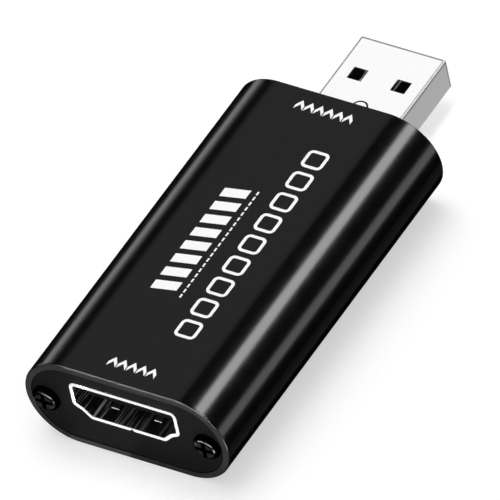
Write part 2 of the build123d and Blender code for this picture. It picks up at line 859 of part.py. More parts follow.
with BuildPart() as crystal_leads:
    with BuildSketch(Plane.YZ.offset(crystal_x)):
        with Locations((crystal_y + crystal_length / 2, board_top)):
            Rectangle(crystal_lead_reach, crystal_lead_thickness, align=(Align.MIN, Align.MIN))
            Rectangle(crystal_lead_thickness, crystal_lead_rise, align=(Align.MIN, Align.MIN))
    extrude(amount=crystal_lead_width / 2, both=True)
    mirror(about=Plane.XZ.offset(-crystal_y))
crystal_leads.part.label = "crystal_leads"
export_step(crystal_leads.part, "parts/crystal_leads.step")

# Power inductor, with a terminal at each side
with BuildPart() as power_inductor:
    with BuildSketch(Plane.XY.offset(board_top)):
        with Locations((inductor_x, inductor_y)):
            RectangleRounded(inductor_side, inductor_side, inductor_corner)
    extrude(amount=inductor_height)
    with BuildSketch(Plane.XY.offset(board_top + inductor_height)):
        with Locations((inductor_x, inductor_y)):
            Circle(inductor_well_radius)
    extrude(amount=-inductor_well_depth, mode=Mode.SUBTRACT)
power_inductor.part.label = "power_inductor"
export_step(power_inductor.part, "parts/power_inductor.step")

with BuildPart() as power_inductor_terminals:
    with BuildSketch(Plane.XY.offset(board_top)):
        with Locations((inductor_x, inductor_y)):
            with GridLocations(inductor_side + inductor_terminal_thickness, 0, 2, 1):
                Rectangle(inductor_terminal_thickness, inductor_terminal_width)
    extrude(amount=inductor_terminal_rise)
power_inductor_terminals.part.label = "power_inductor_terminals"
export_step(power_inductor_terminals.part, "parts/power_inductor_terminals.step")

# Surge protectors behind the video socket
with BuildPart() as surge_protectors:
    with BuildSketch(Plane.XY.offset(board_top)):
        with Locations((0, surge_y)):
            with GridLocations(2 * surge_place_share * field_half, 0, 2, 1):
                Rectangle(surge_width, surge_length)
    extrude(amount=surge_height)
    chamfer(surge_protectors.faces().group_by(Axis.Z)[-1].edges(), case_chamfer)
surge_protectors.part.label = "surge_protectors"
export_step(surge_protectors.part, "parts/surge_protectors.step")


def blocks(places, width, length, height):
    """Rectangular blocks that stand on the board."""
    with BuildPart() as made:
        with BuildSketch(Plane.XY.offset(board_top)):
            with Locations(*places):
                Rectangle(width, length)
        extrude(amount=height)
    return made


# Ceramic capacitors, which lie across the board, and the terminal at each of their ends
capacitor_places = [(x, y) for x in capacitor_columns for y in (front_capacitor_y, rear_capacitor_y)]
capacitor_places += [(inductor_x, y) for y in middle_capacitor_rows]
capacitor_places.append((regulator_x, last_capacitor_y))
capacitor_core = capacitor_length - 2 * capacitor_terminal
capacitor_end_x = (capacitor_length - capacitor_terminal) / 2
capacitor_ends = [(x + side * capacitor_end_x, y) for x, y in capacitor_places for side in (-1, 1)]

ceramic_capacitors = blocks(capacitor_places, capacitor_core, capacitor_width, capacitor_height)
ceramic_capacitors.part.label = "ceramic_capacitors"
export_step(ceramic_capacitors.part, "parts/ceramic_capacitors.step")

capacitor_terminals = blocks(capacitor_ends, capacitor_terminal, capacitor_width, capacitor_height)
capacitor_terminals.part.label = "capacitor_terminals"
export_step(capacitor_terminals.part, "parts/capacitor_terminals.step")

# Chip resistors in a row behind the surge protectors, which lie along the board, and their terminals
resistor_places = [
    ((place - (resistor_count - 1) / 2) * resistor_spacing, resistor_y) for place in range(resistor_count)
]
resistor_core = resistor_length - 2 * resistor_terminal
resistor_ends = [
    (x, y + side * (resistor_length - resistor_terminal) / 2) for x, y in resistor_places for side in (-1, 1)
]

chip_resistors = blocks(resistor_places, resistor_width, resistor_core, resistor_height)
chip_resistors.part.label = "chip_resistors"
export_step(chip_resistors.part, "parts/chip_resistors.step")

resistor_terminals = blocks(resistor_ends, resistor_width, resistor_terminal, resistor_height)
resistor_terminals.part.label = "resistor_terminals"
export_step(resistor_terminals.part, "parts/resistor_terminals.step")
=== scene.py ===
from math import cos, pi, radians, sin

import bmesh
import bpy
from bpy.props import FloatProperty, FloatVectorProperty, IntProperty, PointerProperty
from mathutils import Matrix, Vector


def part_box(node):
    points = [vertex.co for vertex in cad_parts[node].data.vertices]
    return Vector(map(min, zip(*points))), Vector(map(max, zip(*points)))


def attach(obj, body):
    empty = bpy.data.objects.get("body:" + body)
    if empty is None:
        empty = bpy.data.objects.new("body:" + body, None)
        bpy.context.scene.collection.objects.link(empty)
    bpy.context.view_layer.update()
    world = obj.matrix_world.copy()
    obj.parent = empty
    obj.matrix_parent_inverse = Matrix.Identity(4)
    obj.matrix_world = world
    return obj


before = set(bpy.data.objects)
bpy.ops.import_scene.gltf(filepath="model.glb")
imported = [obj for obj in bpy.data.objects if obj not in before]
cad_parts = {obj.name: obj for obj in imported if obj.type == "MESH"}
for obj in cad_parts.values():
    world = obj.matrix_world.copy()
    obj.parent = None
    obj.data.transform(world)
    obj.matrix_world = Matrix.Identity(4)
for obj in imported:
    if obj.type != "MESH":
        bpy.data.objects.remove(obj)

bl_info = {
    "name": "Video capture box",
    "version": (1, 0, 0),
    "blender": (4, 5, 0),
    "location": "View3D > Sidebar > Capture Box",
    "description": "Finishes, prints and studio for a stick-shaped video capture box",
    "category": "Object",
}

BODY = "root"
MM = 0.001

# Places of the painted highlights along the plug's outer and inner contacts, across the plug
PLUG_CONTACTS = (3.58 * MM, 1.15 * MM)

# Middle and half width of the socket's spring fingers, and where their tips start and end behind the rim
FINGER_PLACE, FINGER_HALF = 3.0 * MM, 0.55 * MM
FINGER_TIP = (1.9 * MM, 2.16 * MM)

# Place of the socket's seam across the box, and the top of the painted shade wedge round its open end
SEAM_PLACE, SEAM_TOP = 0.47 * MM, 5.38 * MM

# Where across the socket its painted reflection streaks are brightest and faintest
STREAK_FADE = (-4 * MM, 1 * MM)

# Range that most of a noise pattern lies in, the part of it that shows as painted reflection streaks, and
# a sharp border
GRAIN_RANGE = (0.3, 0.7)
STREAK_RANGE = (0.52, 0.7)
SHARP = 0.01 * MM

# Plain names of the shader's inputs
SHADER_INPUTS = {
    "colour": "Base Color",
    "metallic": "Metallic",
    "roughness": "Roughness",
    "specular": "Specular IOR Level",
    "glow_colour": "Emission Color",
    "glow": "Emission Strength",
    "relief": "Normal",
}
WHITE = (1, 1, 1, 1)

# The model's own box and the boxes of the nodes that the finishes and prints follow
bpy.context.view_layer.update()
HOUSING_LOW, HOUSING_HIGH = (Vector(corner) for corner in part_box("housing"))
SOCKET_LOW = Vector(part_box("video_socket_shell")[0])
PLUG_HIGH = Vector(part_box("plug_shell")[1])
SCREW_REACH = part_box("rear_screws")[1][1]

# Kinds of settings


def colour_setting(name, description, default):
    """Setting for a colour."""
    return FloatVectorProperty(
        name=name, description=description, subtype="COLOR", size=3, min=0, max=1, default=default
    )


def place_setting(name, description, default):
    """Setting for a place or a size along two or three axes."""
    return FloatVectorProperty(
        name=name, description=description, subtype="XYZ", unit="LENGTH",
        size=len(default), default=default,
    )


def length_setting(name, description, default):
    """Setting for a length."""
    return FloatProperty(name=name, description=description, unit="LENGTH", min=0, default=default)


def share_setting(name, description, default):
    """Setting for a share from zero to one."""
    return FloatProperty(
        name=name, description=description, subtype="FACTOR", min=0, max=1, default=default
    )


def level_setting(name, description, default):
    """Setting for a level of light."""
    return FloatProperty(name=name, description=description, min=0, default=default)


def count_setting(name, description, default):
    """Setting for a number of marks."""
    return IntProperty(name=name, description=description, min=1, default=default)


# Finishes


class FinishSettings(bpy.types.PropertyGroup):
    """Colours and gloss of the box's surfaces."""

    housing_colour: colour_setting(
        "Housing", "Gloss black paint of the housing", (0.0024, 0.0024, 0.0026)
    )
    # The end rings' colour is the cut ends' own lighter tone together with a painted reflection of the
    # floor.
    end_ring_and_reflection_colour: colour_setting("End rings", "Cut ends of the housing's wall", (0.054, 0.054, 0.055))
    plate_colour: colour_setting(
        "End plates", "Satin black paint of the end plates", (0.0094, 0.0094, 0.0097)
    )
    screw_colour: colour_setting("Screws", "Black oxide of the screws", (0.003, 0.003, 0.0031))
    nickel_colour: colour_setting(
        "Nickel", "Bright plate of both connector shells", (0.985, 0.985, 0.985)
    )
    # Painted shade: the socket's walls behind the bright rim get this dark colour and no metal.
    socket_inside_shade_colour: colour_setting(
        "Socket's inside", "Dark inner walls of the video socket", (0.003, 0.003, 0.003)
    )
    # Painted shade: the finger tips are dark metal, so only the brightest lamp's glint shows on them.
    finger_tip_shade_colour: colour_setting(
        "Finger tips", "Rubbed tips of the socket's spring fingers", (0.05, 0.05, 0.05)
    )
    # Painted reflection: bright streaks on the socket's dark inner walls.
    streak_reflection_colour: colour_setting(
        "Streaks", "Drawing lines along the socket's inner walls", (0.55, 0.55, 0.55)
    )
    gold_colour: colour_setting("Gold", "Plate of the contacts", (0.83, 0.62, 0.24))
    # Painted shade: the plug contacts' dark gold beside the painted highlight.
    shaded_gold_colour: colour_setting(
        "Dull gold", "Plug contacts beside the wiped line", (0.022, 0.017, 0.009)
    )
    # Painted highlight: the bright line along each plug contact, and its width below.
    contact_highlight_colour: colour_setting(
        "Wiped gold", "Line that sockets wipe along the plug's contacts", (0.95, 0.93, 0.89)
    )
    highlight_width: length_setting("Wiped width", "Width of the wiped line", 0.14 * MM)
    tin_colour: colour_setting("Tin", "Plate of leads and terminals", (0.66, 0.66, 0.65))
    plastic_colour: colour_setting(
        "Black plastic", "Insulators of both connectors", (0.003, 0.003, 0.0032)
    )
    board_colour: colour_setting(
        "Circuit board", "Solder mask of the circuit board", (0.004, 0.050, 0.022)
    )
    resin_colour: colour_setting("Chip resin", "Moulded cases of the chips", (0.020, 0.020, 0.022))
    ferrite_colour: colour_setting("Ferrite", "Inductor and resistor bodies", (0.032, 0.032, 0.035))
    ceramic_colour: colour_setting("Ceramic", "Capacitor bodies", (0.42, 0.29, 0.17))
    ink_colour: colour_setting("Ink", "White print on the housing", (0.93, 0.93, 0.93))
    housing_specular: share_setting("Housing specular", "Strength of the housing's reflections", 0.15)
    screw_specular: share_setting("Screw specular", "Strength of the screw faces' reflections", 0.2)
    ring_depth: length_setting(
        "Ring depth", "How far the bare cut end reaches along the housing", 0.10 * MM
    )
    # Below the polished face the screws get painted shade.
    polished_depth: length_setting(
        "Polished depth", "How far the polish of the screws' faces reaches down the head", 0.15 * MM
    )
    # Width of the plug's rounded edges that get painted shade; the next three settings say how much of
    # the nickel's brightness the painted shade leaves.
    shaded_edge_width: length_setting(
        "Dull edge", "Width of the duller rounded edges of the plug's shell", 0.28 * MM
    )
    edge_shade: share_setting("Edge shade", "Brightness left on the plug's tip and left edges", 0.42)
    beside_edge_shade: share_setting(
        "Beside edge shade", "Brightness left beside the plug's right edge", 0.75
    )
    right_edge_shade: share_setting("Right edge shade", "Brightness left on the plug's right edge", 0.12)
    right_edge_roughness: share_setting(
        "Right edge roughness", "Roughness of the plug's right edge", 0.5
    )
    # Behind the bright rim the socket's walls get painted shade.
    bright_lip_depth: length_setting(
        "Bright lip depth", "How far the socket's bright rim reaches inside", 0.04 * MM
    )


def shade(colour, factor=1):
    """A colour made lighter or darker by a factor, with full alpha."""
    return (*(min(1.0, channel * factor) for channel in colour), 1.0)


def feed(tree, socket, value):
    """Wires a socket to another one, or sets it to a plain value."""
    if isinstance(value, bpy.types.NodeSocket):
        tree.links.new(value, socket)
    else:
        socket.default_value = value


def look(tree, **values):
    """Wires or sets inputs of a material's shader, by their names in SHADER_INPUTS."""
    shader = tree.nodes["Principled BSDF"]
    for name, value in values.items():
        feed(tree, shader.inputs[SHADER_INPUTS[name]], value)


def new_finish(name, colour, **values):
    """Material set to a colour and other plain values, and its node tree for the patterns."""
    material = bpy.data.materials.new(name)
    material.use_nodes = True
    look(material.node_tree, colour=shade(colour), **values)
    return material, material.node_tree


def place_in(tree, stretch=(1, 1, 1)):
    """Object coordinates, squeezed along the axes by a stretch."""
    coordinates = tree.nodes.new("ShaderNodeTexCoord")
    mapping = tree.nodes.new("ShaderNodeMapping")
    mapping.inputs["Scale"].default_value = stretch
    tree.links.new(coordinates.outputs["Object"], mapping.inputs["Vector"])
    return mapping.outputs["Vector"]


def along(tree, axis):
    """One object coordinate."""
    parts = tree.nodes.new("ShaderNodeSeparateXYZ")
    tree.links.new(place_in(tree), parts.inputs["Vector"])
    return parts.outputs[axis]


def grain(tree, size, detail=4, stretch=(1, 1, 1)):
    """Noise whose features are about a size across."""
    noise = tree.nodes.new("ShaderNodeTexNoise")
    noise.inputs["Scale"].default_value = 1 / size
    noise.inputs["Detail"].default_value = detail
    tree.links.new(place_in(tree, stretch), noise.inputs["Vector"])
    return noise.outputs["Fac"]


def between(tree, value, start, end, low=0.0, high=1.0):
    """A value's run from start to end, changed to a run from low to high."""
    node = tree.nodes.new("ShaderNodeMapRange")
    node.inputs["From Min"].default_value = start
    node.inputs["From Max"].default_value = end
    node.inputs["To Min"].default_value = low
    node.inputs["To Max"].default_value = high
    tree.links.new(value, node.inputs["Value"])
    return node.outputs["Result"]


def falling(tree, value, start, end):
    """One up to the start of a run, and zero past its end."""
    return between(tree, value, start, end, low=1, high=0)


def inverse(tree, mask):
    """One where a mask is zero, and zero where it is one."""
    return falling(tree, mask, 0, 1)


def calculated(tree, operation, *values):
    """Result of a sum on one or two values, each a socket or a number."""
    node = tree.nodes.new("ShaderNodeMath")
    node.operation = operation
    for socket, value in zip(node.inputs, values):
        feed(tree, socket, value)
    return node.outputs["Value"]


def multiplied(tree, first, second):
    """Product of two values."""
    return calculated(tree, "MULTIPLY", first, second)


def larger(tree, first, second):
    """Larger of two values."""
    return calculated(tree, "MAXIMUM", first, second)


def magnitude(tree, value):
    """A value without its sign."""
    return calculated(tree, "ABSOLUTE", value)


def distance(tree, value, place):
    """How far a value is from a place."""
    return magnitude(tree, calculated(tree, "SUBTRACT", value, place))


def mixed(tree, factor, first, second):
    """Two colours mixed by a factor. Each is a colour or a socket."""
    node = tree.nodes.new("ShaderNodeMix")
    node.data_type = "RGBA"
    tree.links.new(factor, node.inputs["Factor"])
    feed(tree, node.inputs["A"], first)
    feed(tree, node.inputs["B"], second)
    return node.outputs["Result"]


def mottled(tree, pattern, colour, shades):
    """A colour that a pattern varies between two shades of it."""
    darkest, lightest = shades
    return mixed(tree, pattern, shade(colour, darkest), shade(colour, lightest))


def uneven(tree, pattern, low, high):
    """Roughness that a pattern varies between two values."""
    return between(tree, pattern, *GRAIN_RANGE, low, high)


def vary(tree, pattern, colour, shades, roughness):
    """Lets a pattern vary a finish between two shades of its colour and two values of roughness."""
    look(tree, colour=mottled(tree, pattern, colour, shades), roughness=uneven(tree, pattern, *roughness))


def relief(tree, height, depth, strength):
    """Surface relief from a height pattern."""
    bump = tree.nodes.new("ShaderNodeBump")
    bump.inputs["Distance"].default_value = depth
    bump.inputs["Strength"].default_value = strength
    tree.links.new(height, bump.inputs["Height"])
    look(tree, relief=bump.outputs["Normal"])


def housing_paint(settings):
    """Gloss black paint with a faint orange peel, and lighter cut ends whose colour also paints in a
    reflection of the floor.
    """
    material, tree = new_finish(
        "housing_paint", settings.housing_colour, specular=settings.housing_specular
    )
    # Painted reflection: the cut ends get a lighter colour that also stands in for the floor's
    # reflection.
    ring_start = HOUSING_HIGH.y - settings.ring_depth
    ring = between(tree, magnitude(tree, along(tree, "Y")), ring_start, HOUSING_HIGH.y)
    cloud = grain(tree, size=2.5 * MM)
    paint = mottled(tree, cloud, settings.housing_colour, shades=(0.85, 1.15))
    look(
        tree,
        colour=mixed(tree, ring, paint, shade(settings.end_ring_and_reflection_colour)),
        roughness=uneven(tree, cloud, low=0.17, high=0.2),
    )
    relief(tree, grain(tree, size=0.35 * MM), depth=0.002 * MM, strength=0.25)
    return material


def plate_paint(settings):
    """Satin black paint with a fine texture."""
    material, tree = new_finish("plate_paint", settings.plate_colour, specular=0.03)
    speckle = grain(tree, size=0.18 * MM)
    vary(tree, speckle, settings.plate_colour, shades=(0.8, 1.25), roughness=(0.42, 0.55))
    relief(tree, speckle, depth=0.004 * MM, strength=0.4)
    return material


def blackened_steel(settings):
    """Black oxide on the screws: polished on the head's face, with painted shade in the recess and down
    the side, a darker colour without reflections.
    """
    material, tree = new_finish("blackened_steel", settings.screw_colour)
    marks = grain(tree, size=0.3 * MM, detail=2)
    # The soft border between the polish and the painted shade, by shares of its depth
    face_start = SCREW_REACH - 1.2 * settings.polished_depth
    face_end = SCREW_REACH - 0.8 * settings.polished_depth
    face = between(tree, magnitude(tree, along(tree, "Y")), face_start, face_end)
    # Painted shade: a darker colour and no reflection in the recess and down the head's side.
    recess_and_side_shade = shade(settings.screw_colour, 0.3)
    polished = mottled(tree, marks, settings.screw_colour, shades=(0.7, 1.3))
    look(
        tree,
        colour=mixed(tree, face, recess_and_side_shade, polished),
        specular=multiplied(tree, face, settings.screw_specular),
        roughness=uneven(tree, marks, low=0.13, high=0.19),
    )
    relief(tree, marks, depth=0.002 * MM, strength=0.15)
    return material


def bright_nickel(settings):
    """Nickel plate with fine drawing lines along the sheet, and painted shade on the rounded edges and
    beside the right edge.
    """
    nickel = settings.nickel_colour
    material, tree = new_finish("bright_nickel", nickel, metallic=1)
    lines = grain(tree, size=0.2 * MM, detail=3, stretch=(1, 0.06, 1))
    edge = settings.shaded_edge_width
    across, forward, up = (along(tree, axis) for axis in "XYZ")
    # Each zone's soft border, by shares of the painted-shade edge's width
    top = between(tree, up, PLUG_HIGH.z - edge, PLUG_HIGH.z - 0.9 * edge)
    left = falling(tree, across, 1.2 * edge - PLUG_HIGH.x, 1.4 * edge - PLUG_HIGH.x)
    tip = between(tree, forward, PLUG_HIGH.y - 1.4 * edge, PLUG_HIGH.y - 1.2 * edge)
    beside = between(tree, across, PLUG_HIGH.x - 1.6 * edge, PLUG_HIGH.x - 1.4 * edge)
    right = between(tree, across, PLUG_HIGH.x - edge, PLUG_HIGH.x - 0.9 * edge)
    right = multiplied(tree, right, top)
    colour = mottled(tree, lines, nickel, shades=(0.98, 1.02))
    # Painted shade on the tip and left edges, beside the right edge and on the right edge.
    for zone, factor in (
        (larger(tree, multiplied(tree, left, top), tip), settings.edge_shade),
        (multiplied(tree, beside, top), settings.beside_edge_shade),
        (right, settings.right_edge_shade),
    ):
        colour = mixed(tree, zone, colour, shade(nickel, factor))
    blurred = multiplied(tree, right, settings.right_edge_roughness)
    roughness = larger(tree, uneven(tree, lines, low=0.14, high=0.2), blurred)
    look(tree, colour=colour, roughness=roughness)
    relief(tree, lines, depth=0.001 * MM, strength=0.12)
    return material


def socket_nickel(settings):
    """Bright nickel on the socket's rim; behind it painted shade darkens the walls, with painted
    reflection streaks, darkened finger tips and a painted shade wedge at the seam.
    """
    material, tree = new_finish("socket_nickel", settings.nickel_colour, specular=0.05)
    across, forward, up = (along(tree, axis) for axis in "XYZ")
    # Painted shade: behind the bright rim the walls turn dark and stop being metal.
    rim = SOCKET_LOW.y + settings.bright_lip_depth
    inside = between(tree, forward, rim, rim + settings.bright_lip_depth)
    from_finger = distance(tree, magnitude(tree, across), FINGER_PLACE)
    beside = between(tree, from_finger, FINGER_HALF, 1.1 * FINGER_HALF)
    # Painted reflection: bright streaks along the dark walls, strongest on the left.
    lines = grain(tree, size=0.2 * MM, detail=2, stretch=(1, 0.03, 1))
    fade = between(tree, across, *STREAK_FADE, low=1, high=0.25)
    reflection_streaks = multiplied(tree, between(tree, lines, *STREAK_RANGE), multiplied(tree, fade, beside))
    shaded_walls = mixed(tree, reflection_streaks, shade(settings.socket_inside_shade_colour), shade(settings.streak_reflection_colour))
    # The finger tips stay metal with a darkened colour, painted shade that leaves only the lamp's glint.
    tip_start, tip_end = (SOCKET_LOW.y + depth for depth in FINGER_TIP)
    past_start = between(tree, forward, tip_start, tip_start + SHARP)
    before_end = falling(tree, forward, tip_end, tip_end + SHARP)
    tip = multiplied(tree, inverse(tree, beside), multiplied(tree, past_start, before_end))
    # Painted shade: a dark wedge on the rim round the seam's open end.
    wedge = calculated(tree, "ADD", distance(tree, across, SEAM_PLACE), up)
    seam_shade = falling(tree, wedge, SEAM_TOP - 2 * SHARP, SEAM_TOP)
    painted_shade_mask = larger(tree, multiplied(tree, inside, inverse(tree, tip)), seam_shade)
    bright = mixed(tree, tip, shade(settings.nickel_colour), shade(settings.finger_tip_shade_colour))
    look(
        tree,
        colour=mixed(tree, painted_shade_mask, bright, shaded_walls),
        metallic=inverse(tree, painted_shade_mask),
        roughness=between(tree, painted_shade_mask, 0, 1, low=0.25, high=0.45),
    )
    return material


def metal_plate(name, colour, roughness):
    """Thin plating with slight clouding."""
    material, tree = new_finish(name, colour, metallic=1)
    cloud = grain(tree, size=0.15 * MM)
    vary(tree, cloud, colour, shades=(0.85, 1.1), roughness=(roughness - 0.06, roughness + 0.08))
    return material


def gold_with_painted_highlight(settings):
    """Gold contacts darkened by painted shade, each with a painted highlight along its middle."""
    material, tree = new_finish("gold_with_painted_highlight", settings.gold_colour, roughness=0.35)
    across = magnitude(tree, along(tree, "X"))
    # Painted highlight along each contact's middle, on gold darkened by painted shade.
    width = settings.highlight_width
    outer, inner = (
        falling(tree, distance(tree, across, middle), width / 2, width) for middle in PLUG_CONTACTS
    )
    highlight_line = larger(tree, outer, inner)
    shaded_gold = mottled(tree, grain(tree, size=0.2 * MM), settings.shaded_gold_colour, shades=(0.7, 1.3))
    look(
        tree,
        colour=mixed(tree, highlight_line, shaded_gold, shade(settings.contact_highlight_colour)),
        metallic=between(tree, highlight_line, 0, 1, low=1, high=0.2),
    )
    return material


def moulded(name, colour, roughness, size, depth, specular=0.5):
    """Moulded or fired surface with a speckle and a matching relief."""
    material, tree = new_finish(name, colour, specular=specular)
    speckle = grain(tree, size)
    vary(tree, speckle, colour, shades=(0.75, 1.25), roughness=(roughness - 0.08, roughness + 0.1))
    relief(tree, speckle, depth, strength=0.4)
    return material


def solder_mask(settings):
    """Green mask over raised tracks."""
    material, tree = new_finish("solder_mask", settings.board_colour, roughness=0.3)
    tracks = tree.nodes.new("ShaderNodeTexBrick")
    tracks.inputs["Scale"].default_value = 1 / (2.4 * MM)
    tracks.inputs["Mortar Size"].default_value = 0.06
    for name, factor in (("Color1", 0.85), ("Color2", 1), ("Mortar", 1.7)):
        tracks.inputs[name].default_value = shade(settings.board_colour, factor)
    tree.links.new(place_in(tree), tracks.inputs["Vector"])
    look(tree, colour=tracks.outputs["Color"])
    relief(tree, tracks.outputs["Fac"], depth=0.02 * MM, strength=0.5)
    return material


def print_ink(settings):
    """White pad print with a slightly uneven coat."""
    material, tree = new_finish("print_ink", settings.ink_colour)
    coat = grain(tree, size=0.25 * MM)
    vary(tree, coat, settings.ink_colour, shades=(0.97, 1.03), roughness=(0.48, 0.62))
    return material


def linked(name, data):
    """Object with a mesh, a lamp or a camera in it, linked to the scene."""
    thing = bpy.data.objects.new(name, data)
    bpy.context.scene.collection.objects.link(thing)
    return thing


def dress(material, *nodes):
    """Gives a material to model nodes."""
    for node in nodes:
        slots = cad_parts[node].material_slots
        if not slots:
            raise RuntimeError(f"{node} has no material slot")
        for slot in slots:
            slot.material = material


class FinishHousing(bpy.types.Operator):
    """Paint the housing and its end plates"""

    bl_idname = "capture_box.finish_housing"
    bl_label = "Finish Housing"

    def execute(self, context):
        settings = context.scene.capture_finish
        dress(housing_paint(settings), "housing")
        dress(plate_paint(settings), "front_plate", "rear_plate")
        return {"FINISHED"}


class FinishScrews(bpy.types.Operator):
    """Blacken the four screws"""

    bl_idname = "capture_box.finish_screws"
    bl_label = "Finish Screws"

    def execute(self, context):
        dress(blackened_steel(context.scene.capture_finish), "front_screws", "rear_screws")
        return {"FINISHED"}


class FinishVideoSocket(bpy.types.Operator):
    """Plate the video socket's shell and contacts, and colour its insulator"""

    bl_idname = "capture_box.finish_video_socket"
    bl_label = "Finish Video Socket"

    def execute(self, context):
        settings = context.scene.capture_finish
        dress(socket_nickel(settings), "video_socket_shell")
        gold = metal_plate("socket_gold", settings.gold_colour, roughness=0.3)
        dress(gold, "video_socket_upper_contacts", "video_socket_lower_contacts")
        plastic = moulded(
            "socket_plastic", settings.plastic_colour,
            roughness=0.45, size=0.2 * MM, depth=0.003 * MM, specular=0.03,
        )
        dress(plastic, "video_socket_insulator")
        return {"FINISHED"}


class FinishPlug(bpy.types.Operator):
    """Plate the plug's shell and contacts, and colour its insulator"""

    bl_idname = "capture_box.finish_plug"
    bl_label = "Finish Plug"

    def execute(self, context):
        settings = context.scene.capture_finish
        dress(bright_nickel(settings), "plug_shell")
        dress(gold_with_painted_highlight(settings), "plug_contacts")
        plastic = moulded(
            "plug_plastic", settings.plastic_colour,
            roughness=0.5, size=0.2 * MM, depth=0.003 * MM, specular=0.03,
        )
        dress(plastic, "plug_insulator")
        return {"FINISHED"}


class FinishCircuitBoard(bpy.types.Operator):
    """Finish the circuit board and every part on it"""

    bl_idname = "capture_box.finish_circuit_board"
    bl_label = "Finish Circuit Board"

    def execute(self, context):
        settings = context.scene.capture_finish
        dress(solder_mask(settings), "circuit_board")
        resin = moulded(
            "chip_resin", settings.resin_colour, roughness=0.5, size=0.12 * MM, depth=0.004 * MM
        )
        dress(
            resin, "capture_chip", "memory_chip", "voltage_regulators", "surge_protectors", "crystal_base"
        )
        ferrite = moulded(
            "ferrite", settings.ferrite_colour, roughness=0.65, size=0.1 * MM, depth=0.006 * MM
        )
        dress(ferrite, "power_inductor", "chip_resistors")
        ceramic = moulded(
            "fired_ceramic", settings.ceramic_colour, roughness=0.6, size=0.1 * MM, depth=0.004 * MM
        )
        dress(ceramic, "ceramic_capacitors")
        dress(
            metal_plate("tin_plate", settings.tin_colour, roughness=0.35),
            "capture_chip_leads", "memory_chip_leads", "voltage_regulator_leads", "crystal_leads",
            "power_inductor_terminals", "capacitor_terminals", "resistor_terminals",
        )
        dress(metal_plate("crystal_nickel", settings.nickel_colour, roughness=0.25), "crystal_can")
        return {"FINISHED"}


# Prints on the housing's flat top


class PrintSettings(bpy.types.PropertyGroup):
    """Sizes and places of the white marks on the housing's top."""

    ink_thickness: length_setting("Ink thickness", "How far the ink stands over the paint", 0.02 * MM)
    chevron_width: length_setting("Chevron width", "Width of one chevron by a connector", 1.2 * MM)
    chevron_height: length_setting("Chevron height", "Height of one chevron along the housing", 1.6 * MM)
    chevron_stroke: length_setting(
        "Chevron stroke", "Thickness of a chevron's limbs along the housing", 0.7 * MM
    )
    chevron_pitch: length_setting("Chevron pitch", "Spacing of the chevrons", 1.36 * MM)
    chevron_middle: FloatProperty(
        name="Chevron middle", description="Middle of the chevrons across the housing",
        unit="LENGTH", default=0.35 * MM,
    )
    socket_chevrons: count_setting("Socket chevrons", "Number of chevrons by the video socket", 5)
    plug_chevrons: count_setting("Plug chevrons", "Number of chevrons by the plug", 6)
    chevron_end_gap: length_setting(
        "Socket end gap", "From the socket's end of the housing to the middle of its chevrons", 3.0 * MM
    )
    plug_chevron_gap: length_setting(
        "Plug end gap", "From the plug's end of the housing to the middle of its chevrons", 2.7 * MM
    )
    bar_count: count_setting("Bars", "Number of bold slanted bars", 8)
    bar_pitch: length_setting("Bar pitch", "Spacing of the bars", 2.36 * MM)
    bar_length: length_setting("Bar length", "Length of a bar along the housing", 1.45 * MM)
    bar_width: length_setting("Bar width", "Width of a bar across the housing", 3.3 * MM)
    bar_slant: FloatProperty(
        name="Bar slant", description="How far a bar's edge leans", unit="LENGTH", default=0.7 * MM
    )
    bar_place: place_setting(
        "Bar place", "Middle of the bars on the housing's top", (-2.9 * MM, -1.1 * MM)
    )
    dash_count: count_setting("Dashes", "Number of fine dashes", 21)
    dash_pitch: length_setting("Dash pitch", "Spacing of the dashes", 0.92 * MM)
    dash_length: length_setting("Dash length", "Length of a dash along the housing", 0.6 * MM)
    dash_width: length_setting("Dash width", "Width of a dash across the housing", 0.22 * MM)
    dash_place: place_setting(
        "Dash place", "Middle of the dashes on the housing's top", (-0.3 * MM, -1.1 * MM)
    )
    window_count: count_setting("Windows", "Number of outlined windows in the row", 9)
    window_pitch: length_setting("Window pitch", "Spacing of the windows", 3.8 * MM)
    window_side: length_setting("Window side", "Outer side of a window", 2.95 * MM)
    window_corner: length_setting("Window corner", "Outer corner radius of a window", 0.75 * MM)
    window_stroke: length_setting("Window stroke", "Thickness of a window's outline", 0.42 * MM)
    window_place: place_setting(
        "Window place", "Middle of the windows on the housing's top", (3.45 * MM, 0.35 * MM)
    )


# Sides that a window's rounded corner is made of, and how deep the ink reaches into the paint
CORNER_STEPS = 6
INK_SINK = 0.004 * MM


def rounded_square(side, corner):
    """Points of a rounded square, counter-clockwise."""
    points = []
    middle = side / 2 - corner
    for quarter, (x, y) in enumerate(((1, 1), (-1, 1), (-1, -1), (1, -1))):
        for step in range(CORNER_STEPS + 1):
            angle = (quarter + step / CORNER_STEPS) * pi / 2
            points.append((x * middle + corner * cos(angle), y * middle + corner * sin(angle)))
    return points


def chevron(width, height, stroke):
    """Points of a chevron that points along the housing, counter-clockwise."""
    tip, foot = height / 2, -height / 2
    return [
        (-width / 2, foot), (0, tip - stroke), (width / 2, foot),
        (width / 2, foot + stroke), (0, tip), (-width / 2, foot + stroke),
    ]


def slanted_bar(length, width, slant):
    """Points of a bar across the housing whose far edge leans along it, counter-clockwise."""
    return [
        (-width / 2, (-length - slant) / 2), (width / 2, (-length + slant) / 2),
        (width / 2, (length + slant) / 2), (-width / 2, (length - slant) / 2),
    ]


